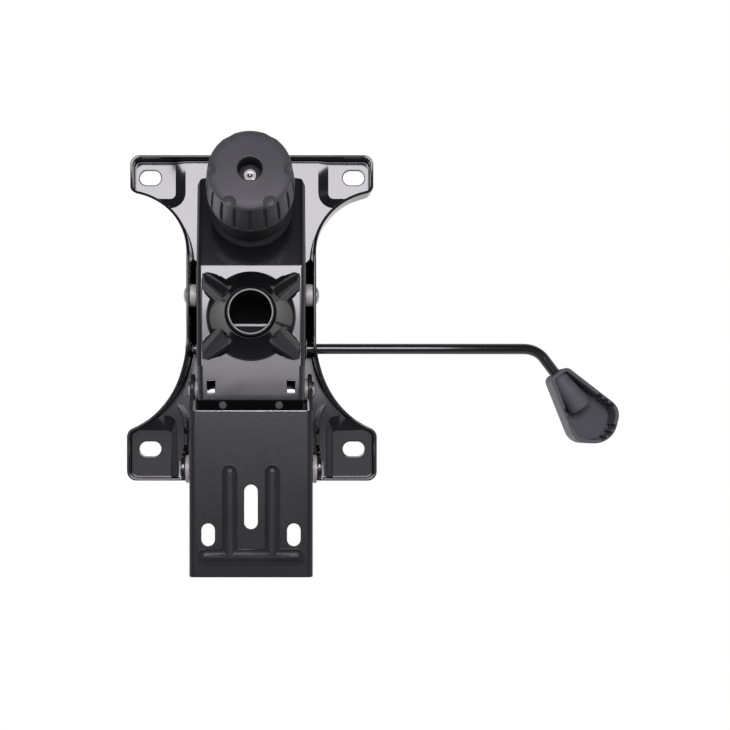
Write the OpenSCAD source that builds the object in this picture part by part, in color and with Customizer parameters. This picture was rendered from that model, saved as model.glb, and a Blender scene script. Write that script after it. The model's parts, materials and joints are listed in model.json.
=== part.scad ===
// Tilt mechanism of an office chair, in its use position, millimetres.
// Origin: middle of the gas-lift socket's mouth. +Z up, +X to the lever, +Y to the backrest.

/* [Seat plate] */
// Sheet thickness of the seat plate and its ears
seat_t = 2.2; // [1.8:0.1:2.6]
// Height of the seat plate's lower face above the socket's mouth
seat_z = 75; // [75:0.5:80]
// Seat slots, middle to middle across the chair
slot_dx = 150; // [146:1:154]
// Seat slots, middle to middle from front to rear
slot_dy = 200; // [196:1:204]
// Middle of the slot rectangle, along Y
slot_mid_y = -8; // [-10:1:-6]
// Width of a seat slot
slot_w = 10.6; // [8:0.2:12]
// Length of a seat slot, end to end
slot_len = 15.8; // [13:0.2:19]
// Front slots to the front edge
front_rim = 14; // [12:0.5:18]
// Rear slots to the rear edge
rear_rim = 23; // [20:0.5:26]
// Half width of the plate at the front
front_half = 88.5; // [87:0.5:92]
// Half width of the plate at the rear
rear_half = 91; // [89:0.5:94]
// Gap between the housing's wall and the rim at the waist, which the nylon washers fill
side_gap = 5.1; // [4.5:0.1:6]
// Radius of the plate's outer corners
corner_r = 7; // [5:0.5:9]
// Radius of the hollow between waist and front corner
front_arc_r = 50; // [47:0.5:53]
// Radius of the hollow between waist and rear corner
rear_arc_r = 70; // [67:0.5:72]
// Front end of the straight waist
front_arc_y = -44.6; // [-47:0.2:-42]
// Rear end of the straight waist
rear_arc_y = 12.8; // [11:0.2:14]
// Rise of the four screw pads
pad_rise = 2.5; // [2:0.5:5]
// Depth of the rim at the corners
rim_drop = 8; // [7:0.5:12]
// Depth of the rim at the waist
waist_drop = 38; // [36:0.5:40]
// Half width of the rear window
window_half = 34; // [30:0.5:38]
// Front edge of the rear window
window_front_y = 48; // [46:0.5:52]
// Length of the rear window
window_len = 50; // [42:0.5:54]

/* [Housing] */
// Sheet thickness of the housing and the back bracket
channel_t = 2.5; // [2:0.1:3]
// Height of the housing floor's lower face
floor_z = 27; // [26.6:0.2:28]
// Half width of the housing
body_half = 38; // [37:0.1:38.6]
// How far each housing wall draws in towards the rear end
tail_draw = 1; // [0.5:0.1:2.5]
// Bend radius of the housing and the bracket
bend_r = 4.5; // [3.5:0.1:5.5]
// Where the housing floor starts to slope up
slope_y = -35; // [-37:0.5:-34]
// Slope of the front floor
slope = 10.75; // [9.5:0.25:12]
// Length of the sloped floor
slope_len = 66; // [64:0.5:70]
// Rear end of the housing floor
tail_y = 57.6; // [56.5:0.1:58]
// Top of the housing walls at the front
wall_top_z = 70; // [66:0.5:71]
// Top of the housing walls at the rear
tail_top_z = 58; // [57:0.5:59]
// Base radius of the socket boss
boss_r = 30.3; // [29:0.1:31]
// Radius of the socket boss at its tip
boss_tip_r = 17.2; // [17:0.1:18.4]
// Height of the boss tip over the socket's mouth
boss_tip_z = 4; // [2:0.5:7]
// Width of the floor windows
floor_slot_w = 5.3; // [4:0.1:7]
// Length of the floor windows
floor_slot_len = 8.4; // [6:0.2:9]
// Middle of the floor windows, out from the centre
floor_slot_x = 27.4; // [25:0.1:28]

/* [Gas lift socket] */
// Radius of the socket bore
socket_r = 14; // [13:0.1:14.4]
// Wall of the taper bush
bush_wall = 1.9; // [1.6:0.05:2]
// Length of the taper bush
bush_len = 44; // [43:0.5:46]

/* [Pivots] */
// Height of the three pivots
pivot_z = 48; // [47.5:0.1:49]
// Seat pivot, along Y
seat_pivot_y = -17; // [-18:0.25:-16]
// Back pivot, along Y
back_pivot_y = 49.5; // [49:0.1:50]
// Link pin, along Y
link_y = 105.5; // [105:0.1:106]
// Shank radius of the seat and back pivot rivets
rivet_r = 4; // [3.5:0.1:4.4]
// Shank radius of the link pin
link_r = 5; // [4.5:0.1:5.4]
// Radius of the seat pivot's washer
seat_washer_r = 8; // [7.5:0.1:8.6]
// Radius of the back pivot's washer
back_washer_r = 7; // [6.5:0.1:7.6]
// Radius of the link washer
link_washer_r = 10; // [9:0.1:10.6]
// Full recline of the back
recline = 20; // [16:0.5:20]

/* [Back bracket] */
// Gap between the housing's tail and the bracket, which the back washers fill
back_gap = 3; // [2.6:0.1:4]
// Height of the bracket floor's lower face
bracket_z = 25; // [24.6:0.1:25.2]
// Front edge of the bracket floor
bracket_front_y = 64.7; // [64:0.1:66]
// Rear end of the bracket
bracket_rear_y = 178.8; // [176:0.2:184]
// Radius of the bracket ears round the pivots
bracket_ear_r = 11; // [10:0.1:11.5]
// Height of the bracket walls at the rear end
bracket_tail_h = 17; // [12:0.5:22]
// Width of the three bracket slots
bar_slot_w = 9.2; // [8:0.1:10]
// Length of the middle slot
mid_slot_len = 30.4; // [26:0.2:32]
// Length of the side slots
side_slot_len = 15.5; // [13:0.1:17]
// Middle slot, along Y
mid_slot_y = 130.6; // [129:0.1:132]
// Side slots, along Y
side_slot_y = 149.7; // [148:0.1:150.5]
// Side slots, out from the centre
side_slot_x = 29.3; // [28:0.1:30]
// Depth of the pressed ribs
rib_h = 2.4; // [1.5:0.1:2.4]
// Width of the long ribs
rib_w = 10.2; // [9.5:0.1:11]
// Long ribs, out from the centre
rib_x = 14.6; // [14:0.1:15]
// Front end of the long ribs
rib_front_y = 107; // [98:0.5:108]
// Width of the cross rib
cross_w = 11.3; // [10.5:0.1:12]
// Middle of the cross rib, along Y
cross_y = 165; // [164.5:0.1:168]
// Half length of the cross rib
cross_half = 31; // [28:0.5:33]

/* [Tension unit] */
// Where the tension axis meets the sloped floor, along Y
knob_y = -75.5; // [-77:0.25:-74]
// Radius of the tension bolt
bolt_r = 4; // [3.5:0.1:4.2]
// Free end of the bolt inside the knob's face
bolt_recess = 9.5; // [8:0.5:12]
// Height of the knob
knob_h = 33; // [32:0.5:36]
// Gap between the housing floor and the knob
knob_gap = 29; // [28:0.5:32]
// Radius of the knob's skirt at its lower rim
skirt_r = 29.3; // [29:0.1:30]
// Radius of the knob's face rim
face_r = 26.8; // [26.4:0.1:27.4]
// Radius of the hole in the knob's face
face_hole_r = 7.6; // [7:0.1:8]
// Scoops round the face
scoop_count = 6; // [4:1:8]
// Grooves round the skirt
groove_count = 18; // [12:1:20]
// Outer radius of the ribbed sleeve
sleeve_r = 25.6; // [25:0.1:25.8]
// Pitch of the sleeve's ribs
sleeve_pitch = 1.2; // [1:0.1:2]
// Turns of the knob from slack to tight
knob_turns = 4; // [2:1:4]
// Wire radius of the spring
wire_r = 2.25; // [1.8:0.05:2.4]
// Coil radius of the spring, to the middle of its wire
coil_r = 16; // [14:0.5:18]
// Turns of the spring
coil_turns = 4.5; // [3.5:0.5:5]

/* [Lever] */
// Radius of the lever rod
rod_r = 3.75; // [3.4:0.05:3.9]
// Lever rod, along Y
rod_y = 20.3; // [19.8:0.1:20.8]
// Height of the lever rod
rod_z = 53; // [52.5:0.1:53.5]
// Straight reach of the rod to its bend
rod_reach = 194; // [180:1:220]
// Bend angle of the rod
rod_bend = 53; // [45:1:60]
// Bend radius of the rod's middle line
rod_bend_r = 18; // [15:0.5:24]
// Straight rod between the bend and the paddle
rod_tail = 12.5; // [6:0.5:16]
// Travel of the rod from free to locked
lock_travel = 8; // [6:0.5:8]
// Length of the paddle
paddle_len = 58.5; // [50:0.5:64]
// Width of the paddle at the rod
paddle_w0 = 17; // [16:0.5:20]
// Width of the paddle at its free end
paddle_w1 = 37; // [32:0.5:42]
// Height of the paddle
paddle_h = 18; // [16:0.5:20]
// Wall of the paddle
paddle_wall = 2.6; // [2:0.1:3]
// Length of the rod socket in the paddle
socket_len = 31.5; // [24:0.5:34]

/* [Clearances] */
// Gap between parts that move past each other
gap = 0.3; // [0.25:0.05:0.4]
// Radial play of shafts and pressed parts
play = 0.05; // [0.03:0.01:0.08]

/* [Hidden] */
$fn = 64;
hull_fn = 32;
over = 1;
rim_lead = 6;
rim_step = 2;
rim_sweep = 22;
rim_run = 14;
ear_toe = 2;
ear_toe_h = 19;
ear_waist_h = 26;
ear_heel = 5;
boss_waist = 5.6;
boss_draw = 10.5;
// Step by which the nose sits inside the flat stretch of the channel
nose_step = 0.3;
// Radius of the notches the lock clicks into
detent_notch_r = 1.2;
// Radius of the nose's corners in plan
nose_corner = 2 * bend_r;

black_steel = "#3b3a3f";
dark_steel = "#2e2d31";
zinc = "#a9abb0";
nylon = "#e6e6e2";
black_plastic = "#242327";
rubber_black = "#161618";

waist_half = body_half + side_gap + seat_t;
tail_half = body_half - tail_draw;
bracket_half = tail_half + back_gap + channel_t;
slot_x = slot_dx / 2;
front_slot_y = slot_mid_y - slot_dy / 2;
rear_slot_y = slot_mid_y + slot_dy / 2;
front_y = front_slot_y - front_rim;
rear_y = rear_slot_y + rear_rim;
front_arc_x = waist_half + front_arc_r;
rear_arc_x = waist_half + rear_arc_r;
front_fillet_y = front_arc_y - fillet_rise(front_arc_r, front_arc_x - front_half + corner_r);
rear_fillet_y = rear_arc_y + fillet_rise(rear_arc_r, rear_arc_x - rear_half + corner_r);
seat_top = seat_z + seat_t;
waist_in = waist_half - seat_t;

// Pads: inner edges measured from their slot, and the run of the slopes round them
front_pad_in = 18.7;
front_pad_back = 15.5;
front_pad_run = 7.6;
rear_pad_in = 16;
rear_pad_back = 13.6;
rear_pad_run_x = 4;
rear_pad_run_y = 11;
pad_r = 4;
window_r = 5;

// Motion: the link pin ties seat tilt to recline, and the bolt's crossbar rides in the seat's anchor
seat_tilt = recline * (link_y - back_pivot_y) / (link_y - seat_pivot_y);
pin_end = turned([link_y, pivot_z], [back_pivot_y, pivot_z], recline);
pin_in_seat = turned(pin_end, [seat_pivot_y, pivot_z], -seat_tilt);
rod_in_seat = turned([rod_y, rod_z], [seat_pivot_y, pivot_z], -seat_tilt);
axis_z = floor_z + (slope_y - knob_y) * tan(slope);
bar_r = 3.5;
bar_half = 10;
anchor_t = 2.5;
anchor_drop = 8.5;
bar_z = seat_z - anchor_drop + gap + bar_r;
bar_y = knob_y + (bar_z - axis_z) * tan(slope);
bar_lift = turned([bar_y, bar_z], [seat_pivot_y, pivot_z], seat_tilt) - [bar_y, bar_z];
bolt_travel = bar_lift.x * sin(slope) + bar_lift.y * cos(slope);
bar_shift = bar_lift.x * cos(slope) - bar_lift.y * sin(slope);
bar_u = (bar_z - axis_z) / cos(slope);
thread_pitch = 1.25;
knob_travel = knob_turns * thread_pitch;

// Stations along the tension axis, from the housing floor down to the knob's face
face_u = knob_gap + knob_h;
ceiling_u = face_u - bolt_recess - over;
sleeve_top_u = ceiling_u - bolt_travel - knob_travel - 2 * gap;
nut_h = 6.5;
nut_af = 13;
nut_u = ceiling_u - nut_h;
washer_t = 2.5;
washer_u = nut_u - gap - washer_t;
seat_ring_t = 2.5;

bush_r = socket_r + bush_wall;
bridge_z = 38;
bridge_front = 26;
bridge_rear = 16;
bridge_flange = 6;
tongue_z = floor_z + 6;
tongue_half = tail_half - channel_t / 2;
tongue_len = 12.4;
buffer_rivet_x = 19.3;
buffer_rivet_r = 2.6;
buffer_rivet_y = tail_y + 3.4;
taper_front_y = 25;
taper_len = 9;
floor_slot_back = 9.4;
floor_slot_y = tail_y - floor_slot_back;
gusset_reach = 39.5;
gusset_toe_r = 7;
gusset_root_r = 10;
gusset_root_at = 18;
toe_sink = 4.7;
root_rise = 5;
head_t = 2.6;
head_grow = 2;
link_head_r = 6.75;
ear_x = bracket_half + 3.8;
ear_t = 2.5;
ear_front_y = 74;
ear_rear_y = rear_y - seat_t - gap;
ear_lobe_r = 12;
flare_r = 18;
flare_angle = 46;
lever_bush_r = 6;
lever_collar_r = 7.5;
lever_collar_t = 1;
rod_tip = 1;
rod_left = waist_in - over;
bend_thin = 0.02;
lock_room = 20;
tab_w = 34;
tab_right = body_half - lock_room;
tab_left = tab_right - tab_w;
tab_t = 2.5;
tab_front_y = 2.3;
hub_r = 6.2;
clip_t = 1.2;
clip_r = 6;
sleeve_len = 11;
detent_r = 7;
cap_edge = 2.4;
hole_edge = 0.8;
skirt_draft = 0.2;
nut_wall = 3.2;
scoop_r = 6.5;
scoop_out = 0.5;
scoop_up = 2.5;
groove_drop = 3.4;
groove_r = 1.3;
groove_out = 0.3;
groove_lean = 3.6;
paddle_edge = 2.5;
paddle_near_r = 5;
paddle_far_r = 12;
paddle_bulge = 4;
grip_depth = 1.4;
grip_w = 3.6;
grip_pitch = 5.2;
grip_right_x = 36;
grip_left_x = 30;
grip_end_turn = -12;
socket_edge = 2.2;
socket_end_r = 8.4;
paddle_end_r = paddle_w1 / 2 - paddle_bulge / 2;
paddle_far_x = paddle_len - paddle_far_r - paddle_bulge;
paddle_run = [paddle_far_x - paddle_near_r, (paddle_w1 - paddle_w0) / 2 - paddle_far_r + paddle_near_r];
paddle_flare = atan2(paddle_run.y, paddle_run.x) + asin((paddle_far_r - paddle_near_r) / norm(paddle_run));

function fillet_rise(arc_r, side) = sqrt((arc_r + corner_r) ^ 2 - side ^ 2);
// A point in the YZ plane turned about a pivot, positive as the rear goes down
function turned(p, about, a) = about + [
    (p.x - about.x) * cos(a) + (p.y - about.y) * sin(a),
    (p.y - about.y) * cos(a) - (p.x - about.x) * sin(a)];
function bezier(a, b, c, n) = [for (i = [0 : n]) let (t = i / n)
    a * (1 - t) ^ 2 + b * 2 * t * (1 - t) + c * t ^ 2];
// Radius of a round bar whose slice is w wide and h high
function crown_r(w, h) = (w ^ 2 / 4 + h ^ 2) / (2 * h);

module both_sides() {
    children();
    mirror([1, 0, 0]) children();
}
module across(x0, x1) {
    translate([x0, 0, 0]) rotate([90, 0, 90]) linear_extrude(x1 - x0) children();
}
module along(y0, y1) {
    translate([0, y1, 0]) rotate([90, 0, 0]) linear_extrude(y1 - y0) children();
}
module pin_x(r, x0, x1) {
    translate([x0, 0, 0]) rotate([0, 90, 0]) cylinder(r = r, h = x1 - x0);
}
module ring_x(r_out, r_in, x0, x1) {
    difference() {
        pin_x(r_out, x0, x1);
        pin_x(r_in, x0 - over, x1 + over);
    }
}
// Rivet along X: flat head up to x0, shank, domed head from x1 outwards
module rivet_x(r, head_r, x0, x1) {
    rotate([0, 90, 0]) rotate_extrude() polygon(concat(
        [[0, x0 - head_t], [head_r, x0 - head_t], [head_r, x0], [r, x0], [r, x1], [head_r, x1]],
        bezier([head_r, x1 + head_t / 4], [head_r * 0.8, x1 + head_t], [0, x1 + head_t], 5)));
}
module at_pivot(y) {
    translate([0, y, pivot_z]) children();
}
module at_rod() {
    translate([0, rod_y, rod_z]) children();
}
// Local frame of the tension axis: Z points away from the sloped floor, to the knob's face
module on_tension_axis() {
    translate([0, knob_y, axis_z]) rotate([180 - slope, 0, 0]) children();
}
module slot_cut(len, w, h) {
    travel = (len - w) / 2;
    linear_extrude(h) {
        for (s = [-1, 1]) translate([s * travel, 0]) circle(d = w);
        square([2 * travel, w], center = true);
    }
}
module round_rect(x0, y0, x1, y1, r) {
    for (x = [x0 + r, x1 - r], y = [y0 + r, y1 - r]) translate([x, y]) circle(r);
    translate([x0 + r, y0]) square([x1 - x0 - 2 * r, y1 - y0]);
    translate([x0, y0 + r]) square([x1 - x0, y1 - y0 - 2 * r]);
}

// Outline of the seat plate, drawn inwards by inset
module half_outline(inset) {
    r = corner_r - inset;
    fx = front_half - corner_r;
    rx = rear_half - corner_r;
    difference() {
        union() {
            polygon([[0, front_y + corner_r], [fx, front_y + corner_r], [fx, front_fillet_y],
                [front_arc_x, front_arc_y], [rear_arc_x, rear_arc_y], [rx, rear_fillet_y],
                [rx, rear_y - corner_r], [0, rear_y - corner_r]]);
            translate([0, front_y + inset]) square([fx, 2 * corner_r]);
            translate([0, rear_y - inset - 2 * corner_r]) square([rx, 2 * corner_r]);
            translate([0, front_y + corner_r])
                square([front_half - inset, front_fillet_y - front_y - corner_r]);
            translate([0, rear_fillet_y]) square([rear_half - inset, rear_y - corner_r - rear_fillet_y]);
            for (p = [[fx, front_y + corner_r], [fx, front_fillet_y], [rx, rear_fillet_y],
                [rx, rear_y - corner_r]]) translate(p) circle(r);
        }
        translate([front_arc_x, front_arc_y]) circle(front_arc_r + inset);
        translate([rear_arc_x, rear_arc_y]) circle(rear_arc_r + inset);
        translate([waist_half - inset, front_arc_y]) square([rear_arc_r, rear_arc_y - front_arc_y]);
    }
}
module plate_outline(inset) {
    half_outline(inset);
    mirror([1, 0]) half_outline(inset);
}
// Ring of a pad: the inner corner at (x, y) is rounded, the other sides run past the plate's edge
function pad_ring(x, y, r, reach, z) = concat(
    [[x, y - reach, z], [x + reach, y - reach, z], [x + reach, y, z]],
    [for (a = [90 : 15 : 180]) [x + r + r * cos(a), y - r + r * sin(a), z]]);
module loft(low, high) {
    n = len(low);
    side = [for (i = [0 : n - 1]) let (j = (i + 1) % n) each [[i, n + i, n + j], [i, n + j, j]]];
    caps = [[for (i = [0 : n - 1]) i], [for (i = [n - 1 : -1 : 0]) n + i]];
    polyhedron(concat(low, high), concat(caps, side));
}
module front_pad(z) {
    x = slot_x - front_pad_in;
    y = front_slot_y + front_pad_back;
    loft(pad_ring(x - front_pad_run, y + front_pad_run, pad_r + front_pad_run, slot_x, z),
        pad_ring(x, y, pad_r, slot_x, z + pad_rise));
}
module rear_pad(z) {
    x = slot_x - rear_pad_in;
    y = rear_pad_back - rear_slot_y;
    mirror([0, 1, 0])
        loft(pad_ring(x - rear_pad_run_x, y + rear_pad_run_y, pad_r + rear_pad_run_x, slot_x, z),
            pad_ring(x, y, pad_r, slot_x, z + pad_rise));
}
module pads(z) {
    both_sides() {
        front_pad(z);
        rear_pad(z);
    }
}
// Side view of the plate: the rim hangs lowest at the waist
module rim_profile() {
    top = seat_top + pad_rise + over;
    polygon([[front_y - over, seat_z - rim_drop], [front_fillet_y, seat_z - rim_drop],
        [front_arc_y - rim_lead, seat_z - waist_drop + rim_step],
        [front_arc_y + 2 * rim_step, seat_z - waist_drop],
        [rear_arc_y + 4 * rim_step, seat_z - waist_drop],
        [rear_arc_y + rim_sweep, seat_z - waist_drop + 2 * rim_step],
        [rear_fillet_y - rim_run, seat_z - rim_drop], [rear_y + over, seat_z - rim_drop],
        [rear_y + over, top], [front_y - over, top]]);
}
module seat_plate() {
    deep = seat_z - waist_drop - over;
    color(black_steel) difference() {
        intersection() {
            union() {
                translate([0, 0, deep]) linear_extrude(seat_top - deep) plate_outline(0);
                intersection() {
                    pads(seat_top);
                    translate([0, 0, seat_z]) linear_extrude(pad_rise + 3 * seat_t) plate_outline(0);
                }
            }
            across(-rear_half - over, rear_half + over) rim_profile();
        }
        translate([0, 0, deep - over]) linear_extrude(seat_z - deep + over) plate_outline(seat_t);
        intersection() {
            pads(seat_z);
            translate([0, 0, deep]) linear_extrude(seat_top + pad_rise - deep) plate_outline(seat_t);
        }
        for (x = [-slot_x, slot_x], y = [front_slot_y, rear_slot_y])
            translate([x, y, seat_z]) slot_cut(slot_len, slot_w, pad_rise + 2 * seat_t);
        translate([0, 0, seat_z - over]) linear_extrude(seat_t + 2 * over)
            round_rect(-window_half, window_front_y, window_half, window_front_y + window_len, window_r);
        at_pivot(seat_pivot_y) pin_x(rivet_r + play, -rear_half, rear_half);
        for (p = [[rod_y, rod_z], rod_in_seat]) {
            translate([0, p.x, p.y]) pin_x(rod_r + gap, -rear_half, 0);
            translate([0, p.x, p.y]) pin_x(rod_r + over, 0, rear_half);
        }
        across(0, rear_half) polygon([[rod_y - rod_r - over, rod_z], [rod_y + rod_r + over, rod_z],
            rod_in_seat + [rod_r + over, 0], rod_in_seat - [rod_r + over, 0]]);
    }
}
// Link plate welded under the seat plate, with a slot for the link pin and a flared front end
module ear_strip() {
    translate([ear_x, ear_front_y - over]) square([ear_t, ear_rear_y - ear_front_y + over]);
    intersection() {
        difference() {
            translate([ear_x + ear_t + flare_r, ear_front_y]) circle(flare_r + ear_t);
            translate([ear_x + ear_t + flare_r, ear_front_y]) circle(flare_r);
        }
        polygon([[ear_x + ear_t + flare_r, ear_front_y], [ear_x - over, ear_front_y],
            [ear_x - over, ear_front_y - 2 * flare_r * tan(flare_angle / 2)],
            [ear_x + ear_t + flare_r - 2 * flare_r * cos(flare_angle),
                ear_front_y - 2 * flare_r * sin(flare_angle)]]);
    }
}
module ear_profile() {
    low = pivot_z - ear_lobe_r;
    polygon([[ear_front_y - 2 * flare_r, seat_z], [ear_front_y - 2 * flare_r, low + ear_toe_h],
        [ear_front_y + ear_toe, low + ear_toe_h], [ear_front_y + ear_toe + ear_heel, low + ear_waist_h],
        [link_y - ear_lobe_r - ear_heel, low + ear_waist_h],
        [link_y - ear_lobe_r, pivot_z], [ear_rear_y + over, pivot_z], [ear_rear_y + over, seat_z]]);
    translate([link_y, pivot_z]) circle(ear_lobe_r);
}
module seat_ear() {
    slot_end = pin_in_seat.x - link_y;
    color(black_steel) difference() {
        intersection() {
            translate([0, 0, pivot_z - ear_lobe_r - over]) linear_extrude(seat_z - pivot_z + ear_lobe_r + over)
                ear_strip();
            across(0, rear_half) ear_profile();
        }
        for (y = [link_y, link_y + slot_end])
            at_pivot(y) pin_x(link_r + gap, 0, rear_half);
        translate([0, link_y + slot_end, pivot_z - link_r - gap])
            cube([rear_half, -slot_end, 2 * (link_r + gap)]);
    }
}
module right_ear() { seat_ear(); }
module left_ear() { mirror([1, 0, 0]) seat_ear(); }

module seat_pivot_rivets() {
    color(zinc) both_sides() at_pivot(seat_pivot_y)
        rivet_x(rivet_r, rivet_r + head_grow, body_half - channel_t - gap, waist_half);
}
module seat_pivot_washers() {
    color(nylon) both_sides() at_pivot(seat_pivot_y)
        ring_x(seat_washer_r, rivet_r + play, body_half + gap, waist_in);
}
// Slotted yoke under the seat plate that lifts the tension bolt
module bolt_anchor() {
    plate_z = seat_z - anchor_drop;
    leg = bar_half + 2.5;
    half = leg + anchor_t;
    front = bar_y - bar_shift - 2 * bar_r - 3;
    rear = bar_y + 2 * bar_r + 2;
    color(dark_steel) difference() {
        translate([-half, front, plate_z - anchor_t])
            cube([2 * half, rear - front, anchor_drop + anchor_t]);
        translate([-leg, front - over, plate_z])
            cube([2 * leg, rear - front + 2 * over, anchor_drop + over]);
        translate([-bolt_r - gap, bar_y - bar_shift - bolt_r - 2, plate_z - anchor_t - over])
            cube([2 * (bolt_r + gap), bar_shift + 2 * bolt_r + 3, anchor_t + 2 * over]);
    }
}

// Cross-section of a pressed channel, its floor at the bottom
module channel_section(half, h, r) {
    translate([-half, r]) square([2 * half, h - r]);
    translate([r - half, 0]) square([2 * (half - r), h]);
    for (s = [-1, 1]) translate([s * (half - r), r]) circle(r);
}
// Closed nose of the channel: its corners are rounded in plan, its front edge rolled over
module channel_nose(half, reach, h, r, corner, back) {
    side = half + nose_step;
    intersection() {
        along(-reach, back) channel_section(half, h, r);
        linear_extrude(h) {
            for (s = [-1, 1]) translate([s * (side - corner), corner - reach]) circle(corner);
            translate([-side, corner - reach]) square([2 * side, reach + back]);
            translate([corner - side, -reach]) square([2 * (side - corner), reach]);
        }
        across(-2 * half, 2 * half)
            polygon(concat([for (a = [0 : 22.5 : 90]) [r - reach - r * cos(a), r - r * sin(a)]],
                [[back + over, 0], [back + over, h], [-reach, h]]));
    }
}
// Body of the channel, drawn inwards by inset: wide in front, drawn in to the tail behind the lever
module channel_body(inset, tail_end) {
    r = bend_r - inset;
    h = wall_top_z - floor_z + over;
    wide = body_half - inset;
    narrow = tail_half - inset;
    taper_rear_y = taper_front_y + taper_len;
    translate([0, 0, floor_z + inset]) {
        intersection() {
            along(slope_y, taper_rear_y) channel_section(wide, h, r);
            linear_extrude(h)
                polygon([[-wide - over, slope_y - over], [wide + over, slope_y - over],
                    [wide + over, taper_front_y], [wide, taper_front_y], [narrow, taper_rear_y],
                    [-narrow, taper_rear_y], [-wide, taper_front_y], [-wide - over, taper_front_y]]);
        }
        along(taper_front_y, tail_end) channel_section(narrow, h, r);
    }
    translate([0, slope_y, floor_z]) rotate([-slope, 0, 0]) translate([0, 0, inset + nose_step])
        channel_nose(wide - nose_step, slope_len - inset, h + over, r, nose_corner - inset, 2 * nose_step);
}
// Side view of the housing: the walls fall to the rear, clear of the tilting seat
module housing_profile() {
    low = boss_tip_z - over;
    front = slope_y - slope_len - over;
    polygon([[front, low], [tail_y + over, low], [tail_y + over, tail_top_z], [seat_pivot_y, wall_top_z],
        [front, wall_top_z]]);
}
module gussets(inset) {
    toe_r = gusset_toe_r - inset;
    for (a = [45 : 90 : 315]) rotate([0, 0, a]) {
        toe = [gusset_reach, 0, floor_z + toe_sink];
        root = [gusset_root_at, 0, floor_z - root_rise];
        run = toe - root;
        translate(root) rotate([0, 90 - asin(run.z / norm(run)), 0]) rotate_extrude()
            polygon(concat([[0, 0], [gusset_root_r - inset, 0]],
                [for (t = [0 : 18 : 72]) [toe_r * cos(t), norm(run) + toe_r * sin(t)]],
                [[0, norm(run) + toe_r]]));
    }
}
module boss_flank(base_r, tip_r, base_z, tip_z, mid) {
    flank = bezier([base_r, base_z], mid, [tip_r, tip_z], 8);
    rotate_extrude() polygon(concat([[0, base_z]], flank, [[0, tip_z]]));
}
module socket_boss(inset) {
    boss_flank(boss_r - inset, boss_tip_r - inset, floor_z + inset, boss_tip_z + 2 * inset,
        [boss_tip_r + boss_waist - inset, floor_z - boss_draw + inset]);
    gussets(inset);
}
module housing() {
    color(black_steel) {
        difference() {
            intersection() {
                union() {
                    channel_body(0, tail_y);
                    intersection() {
                        socket_boss(0);
                        cylinder(r = 2 * boss_r, h = floor_z + channel_t);
                    }
                }
                across(-2 * body_half, 2 * body_half) housing_profile();
            }
            channel_body(channel_t, tail_y + over);
            socket_boss(channel_t);
            translate([0, 0, -over]) cylinder(r = bush_r + play, h = floor_z);
            at_pivot(seat_pivot_y) pin_x(rivet_r + play, -2 * body_half, 2 * body_half);
            at_pivot(back_pivot_y) pin_x(rivet_r + play, -2 * body_half, 2 * body_half);
            at_rod() pin_x(lever_bush_r + play, -2 * body_half, 2 * body_half);
            on_tension_axis() translate([0, 0, -2 * channel_t])
                cylinder(r = bolt_r + gap, h = 3 * channel_t);
            for (s = [-1, 1]) translate([s * floor_slot_x, floor_slot_y, floor_z + channel_t / 2])
                cube([floor_slot_w, floor_slot_len, 2 * channel_t], center = true);
        }
        housing_tongue();
    }
}
// Joggled tongue behind the floor, above the rubber buffer
module housing_tongue() {
    translate([-tongue_half, tail_y - channel_t, floor_z + channel_t])
        cube([2 * tongue_half, channel_t, tongue_z - floor_z]);
    difference() {
        translate([-tongue_half, tail_y - channel_t, tongue_z])
            cube([2 * tongue_half, tongue_len + channel_t, channel_t]);
        for (s = [-1, 1]) translate([s * buffer_rivet_x, buffer_rivet_y, tongue_z - over])
            cylinder(r = buffer_rivet_r / 2 + play, h = channel_t + 2 * over);
    }
}
module upright_buffer() {
    low = bracket_z + channel_t + gap;
    color(rubber_black) difference() {
        translate([-tongue_half, tail_y + gap, low])
            cube([2 * tongue_half, tongue_len - gap, tongue_z - low]);
        for (s = [-1, 1]) translate([s * buffer_rivet_x, buffer_rivet_y, low - over])
            cylinder(r = buffer_rivet_r / 2 + play, h = tongue_z);
    }
}
module buffer_rivets() {
    low = bracket_z + channel_t + gap;
    head = 0.5;
    color(zinc) for (s = [-1, 1]) translate([s * buffer_rivet_x, buffer_rivet_y, 0]) {
        translate([0, 0, low - head]) cylinder(r = buffer_rivet_r, h = head);
        translate([0, 0, low - head])
            cylinder(r = buffer_rivet_r / 2, h = tongue_z + channel_t - low + 2 * head);
        translate([0, 0, tongue_z + channel_t])
            cylinder(r1 = buffer_rivet_r, r2 = buffer_rivet_r / 2, h = over);
    }
}
module taper_bush() {
    lip = 1.2;
    color(dark_steel) rotate_extrude() difference() {
        translate([socket_r, 0]) square([bush_wall, bush_len]);
        difference() {
            translate([bush_r - lip, -over]) square([lip + over, lip + over]);
            translate([bush_r - lip, lip]) circle(lip);
        }
    }
}
// Plate between the housing walls that steadies the upper end of the bush
module bush_bridge() {
    half = body_half - channel_t;
    color(dark_steel) difference() {
        translate([-half, -bridge_front, bridge_z - bridge_flange])
            cube([2 * half, bridge_front + bridge_rear + bush_wall, bridge_flange + channel_t]);
        translate([-half - over, channel_t - bridge_front, bridge_z - bridge_flange - over])
            cube([2 * (half + over), bridge_front + bridge_rear + bush_wall - 2 * channel_t,
                bridge_flange + over]);
        cylinder(r = bush_r + play, h = bush_len);
    }
}
module lever_bushes() {
    color(nylon) both_sides() at_rod() {
        ring_x(lever_bush_r, rod_r + play, body_half - channel_t, body_half + lever_collar_t);
        ring_x(lever_collar_r, rod_r + play, body_half, body_half + lever_collar_t);
    }
}
module back_pivot_rivets() {
    color(zinc) both_sides() at_pivot(back_pivot_y)
        rivet_x(rivet_r, rivet_r + head_grow, tail_half - channel_t, bracket_half + gap);
}
module back_pivot_washers() {
    color(nylon) both_sides() at_pivot(back_pivot_y)
        ring_x(back_washer_r, rivet_r + play, tail_half, bracket_half - channel_t - gap);
}

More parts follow.
